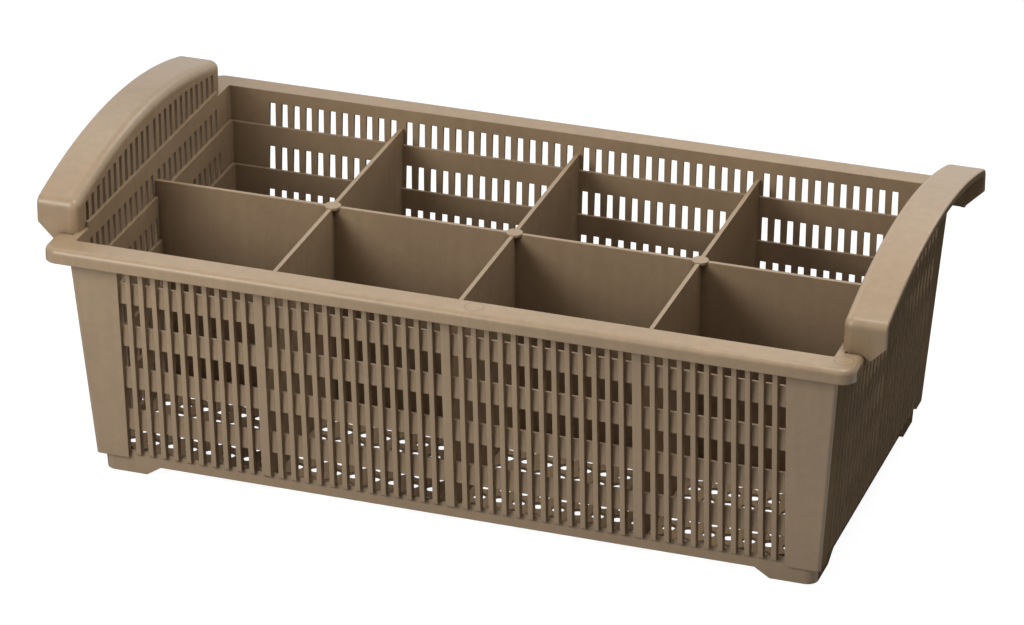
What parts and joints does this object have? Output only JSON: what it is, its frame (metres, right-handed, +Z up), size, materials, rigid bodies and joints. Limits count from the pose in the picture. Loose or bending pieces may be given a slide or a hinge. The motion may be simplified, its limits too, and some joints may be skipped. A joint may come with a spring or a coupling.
{
  "type": "dishwasher cutlery basket",
  "caption": "Rectangular plastic cutlery basket with ribbed slotted walls, divided compartments, a perforated floor and an arched handle at each end.",
  "frame": {"origin": "on the plane of the feet, under the middle of the basket", "axes": "+X along the length towards one handle, +Y across the width, +Z up"},
  "size_m": [0.448, 0.237, 0.1647],
  "materials": {
    "taupe_plastic": "satin"
  },
  "bodies": {
    "root": {"basket": "taupe_plastic"}
  },
  "joints": []
}
